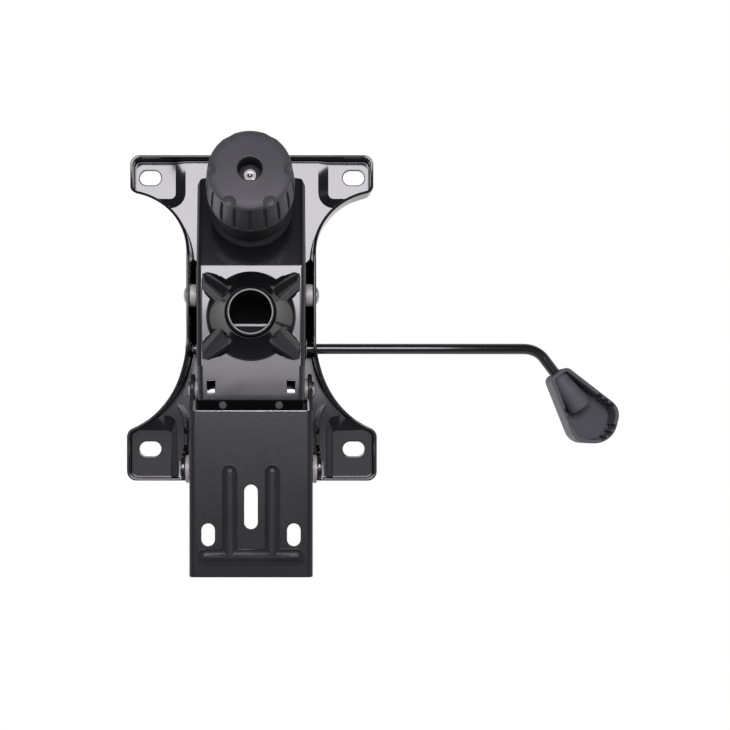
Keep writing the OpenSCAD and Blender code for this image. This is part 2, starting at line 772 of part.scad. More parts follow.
// Side view of the bracket: ears round the back pivot, walls falling to the rear
module bracket_profile() {
    top = pivot_z + bracket_ear_r;
    polygon([[back_pivot_y, top], [link_y + bracket_ear_r, top], [bracket_rear_y, bracket_z + bracket_tail_h],
        [bracket_rear_y, bracket_z - over], [bracket_front_y, bracket_z - over],
        [bracket_front_y, bracket_z + bend_r], [back_pivot_y, pivot_z - bracket_ear_r]]);
    translate([back_pivot_y, pivot_z]) circle(bracket_ear_r);
}
module rib_bars(inset) {
    long_r = crown_r(rib_w, rib_h);
    cross_r = crown_r(cross_w, rib_h);
    for (s = [-1, 1]) translate([s * rib_x, rib_front_y, bracket_z - rib_h + long_r]) {
        rotate([-90, 0, 0]) cylinder(r = long_r - inset, h = cross_y - rib_front_y);
        sphere(long_r - inset);
    }
    translate([0, cross_y, bracket_z - rib_h + cross_r]) {
        pin_x(cross_r - inset, -cross_half, cross_half);
        for (s = [-1, 1]) translate([s * cross_half, 0, 0]) sphere(cross_r - inset);
    }
}
module back_bracket() {
    h = pivot_z + bracket_ear_r - bracket_z + over;
    color(black_steel) difference() {
        union() {
            intersection() {
                difference() {
                    translate([0, 0, bracket_z]) along(back_pivot_y - 2 * bracket_ear_r, bracket_rear_y)
                        channel_section(bracket_half, h, bend_r);
                    translate([0, 0, bracket_z + channel_t])
                        along(back_pivot_y - 3 * bracket_ear_r, bracket_rear_y + over)
                        channel_section(bracket_half - channel_t, h, bend_r - channel_t);
                }
                across(-2 * bracket_half, 2 * bracket_half) bracket_profile();
            }
            intersection() {
                rib_bars(0);
                translate([-bracket_half, bracket_front_y, bracket_z - 2 * rib_h])
                    cube([2 * bracket_half, bracket_rear_y - bracket_front_y, 2 * rib_h + channel_t]);
            }
        }
        rib_bars(channel_t);
        at_pivot(back_pivot_y) pin_x(rivet_r + play, -2 * bracket_half, 2 * bracket_half);
        at_pivot(link_y) pin_x(link_r + play, -2 * bracket_half, 2 * bracket_half);
        translate([0, mid_slot_y, bracket_z - 2 * rib_h]) rotate([0, 0, 90])
            slot_cut(mid_slot_len, bar_slot_w, 4 * rib_h);
        for (s = [-1, 1])
            translate([s * side_slot_x, side_slot_y, bracket_z - 2 * rib_h]) rotate([0, 0, 90])
            slot_cut(side_slot_len, bar_slot_w, 4 * rib_h);
    }
}
module link_pins() {
    color(zinc) both_sides() at_pivot(link_y)
        rivet_x(link_r, link_head_r, bracket_half - channel_t, ear_x + ear_t + gap);
}
module link_washers() {
    color(nylon) both_sides() at_pivot(link_y)
        ring_x(link_washer_r, link_r + play, bracket_half, ear_x - gap);
}

module spring_seat() {
    color(dark_steel) on_tension_axis() difference() {
        union() {
            cylinder(r = coil_r + wire_r + 1.5, h = seat_ring_t);
            cylinder(r = coil_r - wire_r - 1, h = 2 * seat_ring_t);
        }
        translate([0, 0, -over]) cylinder(r = bolt_r + gap, h = 2 * seat_ring_t + 2 * over);
    }
}
// Ribbed sleeve over the spring; the knob's skirt slides down over it
module spring_sleeve() {
    wall = 2;
    foot_r = sleeve_r + 3;
    foot_h = 3;
    rib = 0.5;
    count = floor((sleeve_top_u - foot_h - 1) / sleeve_pitch);
    ribs = [for (i = [0 : count - 1]) let (u = foot_h + i * sleeve_pitch)
        each [[sleeve_r - rib, u], [sleeve_r, u + sleeve_pitch / 2]]];
    color(black_plastic) on_tension_axis() rotate_extrude() polygon(concat(
        [[sleeve_r - rib - wall, 0], [foot_r, 0], [foot_r, foot_h / 2]], ribs,
        [[sleeve_r - rib, foot_h + count * sleeve_pitch], [sleeve_r - rib, sleeve_top_u],
            [sleeve_r - rib - wall, sleeve_top_u]]));
}
// Spring as one tube swept along a helix: rings of a round wire, eight to a turn
coil_low = seat_ring_t + gap + wire_r;
coil_high = washer_u - gap - wire_r;
coil_steps = ceil(8 * coil_turns);
coil_sides = 6;
coil_rise = (coil_high - coil_low) / coil_turns;
coil_lean = atan(coil_rise / (2 * PI * coil_r));
function coil_ring(i) = let (a = 360 * coil_turns * i / coil_steps)
    [for (k = [0 : coil_sides - 1]) let (b = 360 * k / coil_sides, out = coil_r + wire_r * cos(b),
        up = wire_r * sin(b))
        [out * cos(a) + up * sin(coil_lean) * sin(a), out * sin(a) - up * sin(coil_lean) * cos(a),
            coil_low + (coil_high - coil_low) * i / coil_steps + up * cos(coil_lean)]];
coil_points = [for (i = [0 : coil_steps]) each coil_ring(i)];
coil_mid = [for (i = [0 : coil_steps]) [coil_r * cos(360 * coil_turns * i / coil_steps),
    coil_r * sin(360 * coil_turns * i / coil_steps), coil_low + (coil_high - coil_low) * i / coil_steps]];
coil_gap = min([for (i = [0 : coil_steps], j = [0 : coil_steps]) if (j - i > 4)
    norm(coil_mid[i] - coil_mid[j])]) - 2 * wire_r;
module tension_spring() {
    last = coil_steps * coil_sides;
    side = [for (i = [0 : coil_steps - 1], k = [0 : coil_sides - 1]) let (m = (k + 1) % coil_sides,
        a = i * coil_sides, b = a + coil_sides) each [[a + k, b + k, b + m], [a + k, b + m, a + m]]];
    start = [for (k = [1 : coil_sides - 2]) [0, k, k + 1]];
    end = [for (k = [1 : coil_sides - 2]) [last, last + k + 1, last + k]];
    echo(least_gap_of_spring = coil_gap);
    color(zinc) on_tension_axis() polyhedron(coil_points, concat(side, start, end));
}
// Bolt with a crossbar for the seat's anchor and a dimpled free end
module tension_bolt() {
    end_u = face_u - bolt_recess;
    color(zinc) on_tension_axis() {
        difference() {
            translate([0, 0, -bar_u]) cylinder(r = bolt_r, h = end_u + bar_u);
            translate([0, 0, end_u - over]) cylinder(r1 = 0.2, r2 = bolt_r / 2, h = over + 0.01);
        }
        translate([0, 0, -bar_u]) pin_x(bar_r, -bar_half, bar_half);
    }
}
module thrust_washer() {
    color(zinc) on_tension_axis() difference() {
        translate([0, 0, washer_u]) cylinder(r = coil_r + wire_r + 2, h = washer_t);
        translate([0, 0, washer_u - over]) cylinder(r = bolt_r + play, h = washer_t + 2 * over);
    }
}
module knob_nut() {
    color(dark_steel) on_tension_axis() difference() {
        translate([0, 0, nut_u]) cylinder(r = nut_af / sqrt(3), h = nut_h, $fn = 6);
        translate([0, 0, nut_u - over]) cylinder(r = bolt_r + play, h = nut_h + 2 * over);
    }
}
// Knob: domed face with scoops, grooved skirt, boss for the nut inside
module knob_profile() {
    inner = sleeve_r + gap;
    shoulder = face_u - cap_edge;
    polygon(concat([[inner, knob_gap], [skirt_r - 1, knob_gap], [skirt_r, knob_gap + 1]],
        bezier([skirt_r - skirt_draft, knob_gap + knob_h / 3], [face_r + cap_edge * 0.3, shoulder - cap_edge],
            [face_r, shoulder], 4),
        bezier([face_r, shoulder], [face_r - 1, face_u - 1.2], [face_r - 6, face_u - 0.6], 4),
        [[face_hole_r + hole_edge, face_u], [face_hole_r, face_u - hole_edge],
            [face_hole_r, nut_u + nut_h / 2],
            [face_hole_r + nut_wall, nut_u + nut_h / 2], [face_hole_r + nut_wall, ceiling_u],
            [inner, ceiling_u]]));
}
module tension_knob() {
    shoulder = face_u - cap_edge;
    boss_wall_r = face_hole_r + nut_wall;
    color(black_plastic) on_tension_axis() difference() {
        union() {
            rotate_extrude() knob_profile();
            translate([0, 0, nut_u]) cylinder(r = boss_wall_r, h = nut_h);
        }
        for (i = [0 : scoop_count - 1]) rotate([0, 0, 360 * i / scoop_count])
            translate([face_r + scoop_out, 0, face_u + scoop_up]) sphere(scoop_r);
        for (i = [0 : groove_count - 1]) rotate([0, 0, 360 * (i + 0.5) / groove_count])
            translate([skirt_r + groove_out, 0, knob_gap + 2 * groove_r]) rotate([0, -groove_lean, 0])
            cylinder(r = groove_r, h = shoulder - groove_drop - knob_gap - 2 * groove_r);
        translate([0, 0, nut_u - over])
            cylinder(r = nut_af / sqrt(3) + play, h = nut_h + 2 * over, $fn = 6);
        translate([0, 0, ceiling_u]) cylinder(r = face_hole_r, h = face_u);
    }
}

// Lever: rod through both walls, bent out to the paddle
module lever_rod() {
    overlap = 0.5;
    color(dark_steel) at_rod() {
        rotate([0, 90, 0]) rotate_extrude() polygon([[0, -rod_left], [rod_r - rod_tip, -rod_left],
            [rod_r, rod_tip - rod_left], [rod_r, rod_reach + overlap], [0, rod_reach + overlap]]);
        translate([rod_reach, rod_bend_r, 0]) rotate([0, 0, -90])
            rotate_extrude(angle = rod_bend) translate([rod_bend_r, 0]) circle(rod_r - bend_thin);
        at_bend_end() pin_x(rod_r, -overlap, rod_tail + socket_len - paddle_wall);
    }
}
module at_bend_end() {
    translate([rod_reach + rod_bend_r * sin(rod_bend), rod_bend_r * (1 - cos(rod_bend)), 0])
        rotate([0, 0, rod_bend]) children();
}
// Tab that presses the gas lift's button
module actuator_tab() {
    color(dark_steel) at_rod() difference() {
        union() {
            pin_x(hub_r, tab_left, tab_right);
            translate([tab_left, tab_front_y - rod_y, hub_r - rod_r - tab_t / 2])
                cube([tab_right - tab_left, rod_y - tab_front_y, tab_t]);
        }
        pin_x(rod_r + play, tab_left - over, tab_right + over);
    }
}
module lever_clips() {
    color(zinc) at_rod() for (x = [tab_right + gap, tab_right + 3 * gap + clip_t + sleeve_len])
        ring_x(clip_r, rod_r + play, x, x + clip_t);
}
// Sleeve that slides with the rod and snaps at its two positions
module detent_sleeve() {
    x = tab_right + 2 * gap + clip_t;
    color(nylon) at_rod() difference() {
        pin_x(detent_r, x, x + sleeve_len);
        pin_x(rod_r + play, x - over, x + sleeve_len + over);
        for (s = [-1, 1]) translate([x + (sleeve_len + s * lock_travel) / 2, 0, detent_r])
            rotate([90, 0, 0]) cylinder(r = detent_notch_r, h = 2 * detent_r, center = true);
    }
}
// Paddle outline, drawn inwards by inset: narrow at the rod, wide and rounded at the free end
module paddle_outline(inset) {
    for (s = [-1, 1]) {
        translate([paddle_near_r, s * (paddle_w0 / 2 - paddle_near_r)])
            circle(paddle_near_r - inset, $fn = hull_fn);
        translate([paddle_far_x, s * (paddle_w1 / 2 - paddle_far_r)])
            circle(paddle_far_r - inset, $fn = hull_fn);
    }
    translate([paddle_len - paddle_end_r, 0]) circle(paddle_end_r - inset, $fn = 2 * hull_fn);
}
// One finger-grip pocket, cut into the wall beyond y = 0
module grip_pocket() {
    translate([-grip_w / 2, -over, -paddle_h / 2 - over])
        cube([grip_w, grip_depth + over, paddle_h - paddle_wall]);
}
// Three pockets along a side wall, about the given distance from the narrow end
module side_grip(x) {
    wall_y = paddle_w0 / 2 - paddle_near_r + (paddle_near_r - paddle_wall) / cos(paddle_flare)
        + (x - paddle_near_r) * tan(paddle_flare);
    for (i = [-1 : 1]) translate([x, wall_y, 0]) rotate([0, 0, paddle_flare])
        translate([i * grip_pitch, 0, 0]) grip_pocket();
}
module end_grip() {
    inner_r = paddle_end_r - paddle_wall;
    for (i = [-1 : 1]) translate([paddle_len - paddle_end_r, 0, 0])
        rotate([0, 0, grip_end_turn - 90 + i * 360 * grip_pitch / (2 * PI * inner_r)])
        translate([0, inner_r, 0]) grip_pocket();
}
module paddle_slab(inset, z, h) {
    translate([0, 0, z]) linear_extrude(h) hull() paddle_outline(inset);
}
module lever_paddle() {
    top = paddle_h / 2;
    color(black_plastic) at_rod() at_bend_end() translate([rod_tail, 0, 0]) difference() {
        union() {
            difference() {
                hull() {
                    paddle_slab(0, -top, paddle_h - paddle_edge);
                    paddle_slab(paddle_edge, -top, paddle_h);
                }
                paddle_slab(paddle_wall, -top - over, paddle_h - paddle_wall + over);
            }
            rotate([0, 90, 0]) rotate_extrude()
                polygon([[0, paddle_wall / 2], [rod_r + paddle_wall, paddle_wall / 2],
                    [socket_end_r, socket_len - socket_edge],
                    [socket_end_r - socket_edge * 0.3, socket_len - socket_edge * 0.3],
                    [socket_end_r - socket_edge, socket_len], [0, socket_len]]);
        }
        pin_x(rod_r + play, -over, socket_len - paddle_wall + gap);
        mirror([0, 1, 0]) side_grip(grip_right_x);
        side_grip(grip_left_x);
        end_grip();
    }
}

housing();
taper_bush();
bush_bridge();
lever_bushes();
back_pivot_rivets();
back_pivot_washers();
upright_buffer();
buffer_rivets();
spring_sleeve();
spring_seat();
tension_spring();
seat_plate();
left_ear();
right_ear();
seat_pivot_rivets();
seat_pivot_washers();
bolt_anchor();
back_bracket();
link_pins();
link_washers();
tension_bolt();
thrust_washer();
tension_knob();
knob_nut();
detent_sleeve();
lever_rod();
actuator_tab();
lever_paddle();
lever_clips();
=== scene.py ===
import json
import math

import bpy
from mathutils import Matrix, Vector

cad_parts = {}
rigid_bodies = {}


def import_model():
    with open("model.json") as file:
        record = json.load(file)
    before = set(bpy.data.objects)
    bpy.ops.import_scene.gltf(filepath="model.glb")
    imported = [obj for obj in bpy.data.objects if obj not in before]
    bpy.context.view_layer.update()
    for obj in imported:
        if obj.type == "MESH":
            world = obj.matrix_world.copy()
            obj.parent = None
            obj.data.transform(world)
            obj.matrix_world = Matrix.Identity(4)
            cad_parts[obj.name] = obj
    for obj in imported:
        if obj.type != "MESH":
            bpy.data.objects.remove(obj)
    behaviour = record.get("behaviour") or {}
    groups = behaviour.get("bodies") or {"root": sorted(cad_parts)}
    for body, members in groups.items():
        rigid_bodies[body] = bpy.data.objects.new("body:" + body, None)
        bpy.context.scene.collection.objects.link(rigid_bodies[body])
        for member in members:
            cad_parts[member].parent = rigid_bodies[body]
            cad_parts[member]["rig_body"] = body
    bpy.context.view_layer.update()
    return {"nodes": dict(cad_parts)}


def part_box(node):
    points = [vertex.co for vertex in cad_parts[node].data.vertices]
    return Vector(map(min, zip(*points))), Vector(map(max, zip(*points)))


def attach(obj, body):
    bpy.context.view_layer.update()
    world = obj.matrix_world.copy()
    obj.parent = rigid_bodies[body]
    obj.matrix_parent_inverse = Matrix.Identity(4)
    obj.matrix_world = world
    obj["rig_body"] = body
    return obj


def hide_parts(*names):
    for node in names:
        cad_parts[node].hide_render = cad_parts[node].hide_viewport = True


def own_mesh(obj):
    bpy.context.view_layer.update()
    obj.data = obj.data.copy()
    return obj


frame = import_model()
print("frame loaded:", len(frame["nodes"]), "nodes")

mm = 0.001


# small helpers for hand modelling

def clearSelection():
    if bpy.context.object and bpy.context.object.mode != "OBJECT":
        bpy.ops.object.mode_set(mode="OBJECT")
    bpy.ops.object.select_all(action="DESELECT")


def makeActive(piece):
    clearSelection()
    piece.select_set(True)
    bpy.context.view_layer.objects.active = piece


def clearPicks(mesh):
    for group in (mesh.vertices, mesh.edges, mesh.polygons):
        for item in group:
            item.select = False


def applyModifiers(piece):
    makeActive(piece)
    for modifier in list(piece.modifiers):
        bpy.ops.object.modifier_apply(modifier=modifier.name)


brokenEdge = {"angle": 32, "segments": 2, "room": 1.05, "smooth": 34}


def weighEdges(piece, width, keep, s):
    # only sharp edges with room beside them are broken, so one short facet doesn't hold back the rest
    mesh = piece.data
    sides = [[] for edge in mesh.edges]
    for face in mesh.polygons:
        for corner in face.loop_indices:
            sides[mesh.loops[corner].edge_index].append(face.normal)
    limit = math.cos(math.radians(s["angle"]))
    sharp = [len(pair) == 2 and pair[0].dot(pair[1]) < limit for pair in sides]
    lengths = [(mesh.vertices[edge.vertices[0]].co - mesh.vertices[edge.vertices[1]].co).length
               for edge in mesh.edges]
    meeting = [[] for corner in mesh.vertices]
    for edge in mesh.edges:
        if sharp[edge.index]:
            for end in edge.vertices:
                meeting[end].append(lengths[edge.index])
    room = [min(around) / 2 if len(around) > 2 else math.inf for around in meeting]
    for edge in mesh.edges:
        if not sharp[edge.index]:
            both = all(meeting[end] for end in edge.vertices)
            for end in edge.vertices:
                room[end] = min(room[end], lengths[edge.index] / (2 if both else 1))
    weights = mesh.attributes.new("bevel_weight_edge", "FLOAT", "EDGE")
    for edge in mesh.edges:
        ends = [mesh.vertices[end] for end in edge.vertices]
        if not sharp[edge.index] or min(room[end.index] for end in ends) < s["room"] * width:
            continue
        if keep and all(keep(end.co) for end in ends):
            continue
        weights.data[edge.index].value = 1.0


def addBevel(piece, width, keep, s):
    weighEdges(piece, width, keep, s)
    bevel = piece.modifiers.new("edges", "BEVEL")
    bevel.limit_method = "WEIGHT"
    bevel.width = width
    bevel.segments = s["segments"]
    bevel.use_clamp_overlap = False
    bevel.miter_outer = "MITER_ARC"


def smoothByAngle(piece, angle):
    makeActive(piece)
    bpy.ops.object.shade_smooth_by_angle(angle=math.radians(angle))


def setFinish(piece, finish):
    piece.data.materials.clear()
    piece.data.materials.append(finish)


# finishes, all on Object coordinates

def newFinish(name):
    finish = bpy.data.materials.new(name)
    finish.use_nodes = True
    tree = finish.node_tree
    shader = tree.nodes["Principled BSDF"]
    place = tree.nodes.new("ShaderNodeTexCoord")
    return finish, tree, shader, place


def addNoise(tree, place, scale, detail=3.0, roughness=0.5):
    noise = tree.nodes.new("ShaderNodeTexNoise")
    noise.inputs["Scale"].default_value = scale
    noise.inputs["Detail"].default_value = detail
    noise.inputs["Roughness"].default_value = roughness
    tree.links.new(place.outputs["Object"], noise.inputs["Vector"])
    return noise


def addRamp(tree, source, span, low, high):
    ramp = tree.nodes.new("ShaderNodeValToRGB")
    tree.links.new(source, ramp.inputs["Fac"])
    for element, position, colour in zip(ramp.color_ramp.elements, span, (low, high)):
        element.position = position
        element.color = colour
    return ramp


def addBump(tree, shader, height, strength, distance):
    bump = tree.nodes.new("ShaderNodeBump")
    bump.inputs["Strength"].default_value = strength
    bump.inputs["Distance"].default_value = distance
    tree.links.new(height, bump.inputs["Height"])
    tree.links.new(bump.outputs["Normal"], shader.inputs["Normal"])
    return bump


def shade(colour, factor):
    return (colour[0] * factor, colour[1] * factor, colour[2] * factor, 1.0)


def addMath(tree, operation, one, other):
    node = tree.nodes.new("ShaderNodeMath")
    node.operation = operation
    tree.links.new(one, node.inputs[0])
    if isinstance(other, float):
        node.inputs[1].default_value = other
    else:
        tree.links.new(other, node.inputs[1])
    return node.outputs["Value"]


def addRange(tree, source, start, fade, low=0.0, high=1.0):
    span = tree.nodes.new("ShaderNodeMapRange")
    span.inputs["From Min"].default_value = start
    span.inputs["From Max"].default_value = start + fade
    span.inputs["To Min"].default_value = low
    span.inputs["To Max"].default_value = high
    tree.links.new(source, span.inputs["Value"])
    return span.outputs["Result"]


def addAxes(tree, place):
    axes = tree.nodes.new("ShaderNodeSeparateXYZ")
    tree.links.new(place.outputs["Object"], axes.inputs["Vector"])
    return axes.outputs


mottle = {"cloudSpan": (0.3, 0.7), "cloudDetail": 4.0, "grainSpan": (0.25, 0.75), "grainDetail": 2.0,
          "grainRoughness": 0.6, "waveDetail": 1.0, "waveDepth": 2 * mm}


def addSheetWave(tree, place, fine, s):
    # pressed sheet is never quite flat
    swell = addNoise(tree, place, s["waveScale"], mottle["waveDetail"])
    sheet = tree.nodes.new("ShaderNodeBump")
    sheet.inputs["Strength"].default_value = s["wave"]
    sheet.inputs["Distance"].default_value = mottle["waveDepth"]
    tree.links.new(swell.outputs["Fac"], sheet.inputs["Height"])
    tree.links.new(sheet.outputs["Normal"], fine.inputs["Normal"])


def addDullPatch(tree, place, shader, gloss, dull):
    # the coat is thin and dull where the spray hardly reaches
    axes = addAxes(tree, place)
    flat = tree.nodes.new("ShaderNodeCombineXYZ")
    for axis in ("X", "Y"):
        tree.links.new(axes[axis], flat.inputs[axis])
    reach = tree.nodes.new("ShaderNodeVectorMath")
    reach.operation = "LENGTH"
    tree.links.new(flat.outputs["Vector"], reach.inputs[0])
    near = addRange(tree, reach.outputs["Value"], dull["radius"], dull["fade"], 1.0, 0.0)
    below = addMath(tree, "LESS_THAN", axes["Z"], dull["under"])
    blend = tree.nodes.new("ShaderNodeMix")
    blend.inputs["B"].default_value = dull["roughness"]
    tree.links.new(addMath(tree, "MULTIPLY", near, below), blend.inputs["Factor"])
    tree.links.new(gloss.outputs["Color"], blend.inputs["A"])
    tree.links.new(blend.outputs["Result"], shader.inputs["Roughness"])


def addPaintedHighlightBand(tree, place, shader, tint, paintedHighlight):
    # painted highlight: a pale band along the edge that does the work, where one object axis stays below a
    # limit
    span = addRange(tree, addAxes(tree, place)[paintedHighlight["axis"]], paintedHighlight["upTo"], paintedHighlight["fade"])
    mix = tree.nodes.new("ShaderNodeMix")
    mix.data_type = "RGBA"
    mix.inputs["A"].default_value = (*paintedHighlight["colour"], 1.0)
    tree.links.new(span, mix.inputs["Factor"])
    tree.links.new(tint.outputs["Color"], mix.inputs["B"])
    tree.links.new(mix.outputs["Result"], shader.inputs["Base Color"])


def mottledFinish(name, s):
    finish, tree, shader, place = newFinish(name)
    cloud = addNoise(tree, place, s["cloudScale"], mottle["cloudDetail"])
    tint = addRamp(tree, cloud.outputs["Fac"], mottle["cloudSpan"],
                   shade(s["colour"], 1 - s["cloud"]), shade(s["colour"], 1 + s["cloud"]))
    grain = addNoise(tree, place, s["grainScale"], mottle["grainDetail"], mottle["grainRoughness"])
    low, high = s["roughness"]
    gloss = addRamp(tree, grain.outputs["Fac"], mottle["grainSpan"],
                    (low, low, low, 1), (high, high, high, 1))
    fine = addBump(tree, shader, grain.outputs["Fac"], s["bump"], s["bumpDepth"])
    if "wave" in s:
        addSheetWave(tree, place, fine, s)
    if "dull" in s:
        addDullPatch(tree, place, shader, gloss, s["dull"])
    else:
        tree.links.new(gloss.outputs["Color"], shader.inputs["Roughness"])
    if "paintedHighlight" in s:
        addPaintedHighlightBand(tree, place, shader, tint, s["paintedHighlight"])
    else:
        tree.links.new(tint.outputs["Color"], shader.inputs["Base Color"])
    shader.inputs["Metallic"].default_value = s.get("metal", 0.0)
    shader.inputs["Specular IOR Level"].default_value = s.get("specular", 0.5)
    return finish


finishSettings = {
    "powderCoat": {"colour": (0.004, 0.0039, 0.0046), "cloud": 0.12, "cloudScale": 30,
                   "grainScale": 1500, "roughness": (0.1, 0.15), "bump": 0.06, "bumpDepth": 0.1 * mm,
                   "waveScale": 38, "wave": 0.05},
    "bracketCoat": {"colour": (0.009, 0.0088, 0.0098), "cloud": 0.2, "cloudScale": 40,
                    "grainScale": 900, "roughness": (0.3, 0.46), "bump": 0.3, "bumpDepth": 0.3 * mm,
                    "specular": 0.22, "waveScale": 30, "wave": 0.03},
    "darkSteel": {"colour": (0.04, 0.04, 0.043), "cloud": 0.2, "cloudScale": 60,
                  "grainScale": 1200, "roughness": (0.3, 0.45), "bump": 0.15, "bumpDepth": 0.1 * mm,
                  "metal": 0.4},
    "tabSteel": {"colour": (0.02, 0.02, 0.021), "cloud": 0.2, "cloudScale": 90,
                 "grainScale": 1200, "roughness": (0.5, 0.65), "bump": 0.12, "bumpDepth": 0.1 * mm,
                 "specular": 0.05,
                 # painted highlight: the first 3.7 mm of the tab along Y is painted pale, standing in for the
                 # light on its edge
                 "paintedHighlight": {"axis": "Y", "upTo": 3.7 * mm, "fade": 0.5 * mm, "colour": (0.9, 0.9, 0.9)}},
    "socketSteel": {"colour": (0.01, 0.01, 0.0105), "cloud": 0.2, "cloudScale": 90,
                    "grainScale": 1200, "roughness": (0.5, 0.62), "bump": 0.15, "bumpDepth": 0.1 * mm,
                    "specular": 0.1,
                    # painted highlight: the socket's end face is painted grey as the bright ring round its
                    # mouth
                    "paintedHighlight": {"axis": "Z", "upTo": 0.01 * mm, "fade": 0.04 * mm,
                             "colour": (0.19, 0.19, 0.19)}},
    "zincSteel": {"colour": (0.3, 0.3, 0.31), "cloud": 0.2, "cloudScale": 120,
                  "grainScale": 1800, "roughness": (0.26, 0.4), "bump": 0.12, "bumpDepth": 0.1 * mm,
                  "metal": 1.0},
    "springSteel": {"colour": (0.09, 0.09, 0.095), "cloud": 0.2, "cloudScale": 80,
                    "grainScale": 1500, "roughness": (0.3, 0.45), "bump": 0.1, "bumpDepth": 0.1 * mm,
                    "metal": 0.7},
    "whiteNylon": {"colour": (0.3, 0.29, 0.28), "cloud": 0.06, "cloudScale": 90,
                   "grainScale": 1400, "roughness": (0.4, 0.52), "bump": 0.08, "bumpDepth": 0.1 * mm},
    "knobPlastic": {"colour": (0.034, 0.0338, 0.038), "cloud": 0.1, "cloudScale": 50,
                    "grainScale": 2200, "roughness": (0.42, 0.55), "bump": 0.2, "bumpDepth": 0.15 * mm,
                    "specular": 0.24},
    "paddlePlastic": {"colour": (0.064, 0.0634, 0.0705), "cloud": 0.1, "cloudScale": 50,
                      "grainScale": 2200, "roughness": (0.48, 0.58), "bump": 0.2, "bumpDepth": 0.15 * mm,
                      "specular": 0.1},
    "sleevePlastic": {"colour": (0.006, 0.006, 0.007), "cloud": 0.1, "cloudScale": 60,
                      "grainScale": 1500, "roughness": (0.45, 0.6), "bump": 0.15, "bumpDepth": 0.1 * mm,
                      "specular": 0.2},
    "blackRubber": {"colour": (0.0015, 0.0015, 0.0016), "cloud": 0.1, "cloudScale": 60,
                    "grainScale": 1500, "roughness": (0.8, 0.9), "bump": 0.1, "bumpDepth": 0.1 * mm,
                    "specular": 0.02},
    # painted highlight: pale grey for the faces on the bracket's front edge
    "paintedEdgeHighlight": {"colour": (0.62, 0.62, 0.63), "cloud": 0.25, "cloudScale": 120,
                 "grainScale": 1500, "roughness": (0.35, 0.5), "bump": 0.1, "bumpDepth": 0.1 * mm,
                 "specular": 0.5},
}
sprayShadow = {"radius": 27 * mm, "fade": 6 * mm, "under": 76 * mm, "roughness": 0.75}
finishSettings["seatCoat"] = {**finishSettings["powderCoat"], "dull": sprayShadow}
finishes = {name: mottledFinish(name, s) for name, s in finishSettings.items()}
print("finishes made:", len(finishes))


# sheet-metal and turned pieces: the solids with broken edges

slopeFold = {"front": -41 * mm, "line": -35 * mm, "rear": -32.8 * mm, "near": 0.03 * mm,
             "flat": 27.06 * mm, "half": 34.2 * mm, "lift": 0.31 * mm, "top": 27.7 * mm, "merge": 0.36 * mm,
             "drawnIn": (22 * mm, 38 * mm), "edge": 30 * mm}


def onFold(place):
    return abs(place.y - slopeFold["line"]) < slopeFold["near"]


def keepsEdge(place):
    # the fold is soft already, and the walls draw in behind the lever
    low, high = slopeFold["drawnIn"]
    return onFold(place) or (low < place.y < high and abs(place.x) > slopeFold["edge"])


def softenFold(piece, s):
    # the press leaves a soft bend where the housing's floor turns up towards the knob:
    # narrow strips beside the fold share its normals
    makeActive(piece)
    bpy.ops.object.mode_set(mode="EDIT")
    for y in (s["front"], s["rear"]):
        bpy.ops.mesh.select_all(action="SELECT")
        bpy.ops.mesh.bisect(plane_co=(0, y, 0), plane_no=(0, 1, 0))
    bpy.ops.object.mode_set(mode="OBJECT")
    clearPicks(piece.data)
    for corner in piece.data.vertices:
        corner.select = onFold(corner.co) and corner.co.z < s["flat"] and abs(corner.co.x) < s["half"]
    bpy.ops.object.mode_set(mode="EDIT")
    bpy.ops.mesh.select_mode(type="VERT")
    bpy.ops.transform.translate(value=(0, 0, s["lift"]))
    bpy.ops.object.mode_set(mode="OBJECT")
    clearPicks(piece.data)
    for corner in piece.data.vertices:
        corner.select = onFold(corner.co) and corner.co.z < s["top"] and abs(corner.co.x) < s["half"]
    bpy.ops.object.mode_set(mode="EDIT")
    bpy.ops.mesh.remove_doubles(threshold=s["merge"])
    bpy.ops.object.mode_set(mode="OBJECT")


gussetTurn = {"inner": 17 * mm, "outer": 47.5 * mm, "side": 34 * mm, "front": -34.5 * mm, "rear": 33.6 * mm,
              "top": 30.5 * mm, "turn": 6.5, "floor": 27.02 * mm, "limit": 33.4 * mm, "draft": 0.5,
              "sheet": 2.4 * mm}


def turnGussets(piece, s):
    # the gussets lean towards the side walls and run out on the bends
    turned = 0
    inside = [corner.normal.z > 0 for corner in piece.data.vertices]
    for corner in piece.data.vertices:
        place = corner.co
        reach = math.hypot(place.x, place.y)
        if not s["inner"] < reach < s["outer"] or place.z > s["top"]:
            continue
        if abs(place.x) > s["side"] or not s["front"] < place.y < s["rear"]:
            continue
        lean = math.atan2(abs(place.y), abs(place.x))
        lean -= math.radians(s["turn"]) * math.sin(2 * lean)
        across = reach * math.cos(lean)
        sheet = s["sheet"] if inside[corner.index] else 0
        across = min(across, s["limit"] - sheet - s["draft"] * max(0, s["floor"] - place.z))
        corner.co = (math.copysign(across, place.x), math.copysign(reach * math.sin(lean), place.y), place.z)
        turned += 1
    print("gusset corners turned:", turned)


bossLip = {"radius": 16 * mm, "tip": 4 * mm, "near": 0.15 * mm, "turnIn": 1.1 * mm}


def turnLip(piece, s):
    # the boss's mouth turns in round the socket
    makeActive(piece)
    clearPicks(piece.data)
    for corner in piece.data.vertices:
        around = math.hypot(corner.co.x, corner.co.y)
        corner.select = abs(around - s["radius"]) < s["near"] and abs(corner.co.z - s["tip"]) < s["near"]
    bpy.ops.object.mode_set(mode="EDIT")
    bpy.ops.mesh.select_mode(type="VERT")
    bpy.ops.transform.translate(value=(0, 0, s["turnIn"]))
    bpy.ops.mesh.select_more()
    bpy.ops.mesh.quads_convert_to_tris()
    bpy.ops.object.mode_set(mode="OBJECT")


tensionFoot = (0, -75.5 * mm, 34.69 * mm)      # start of the tension bolt's axis

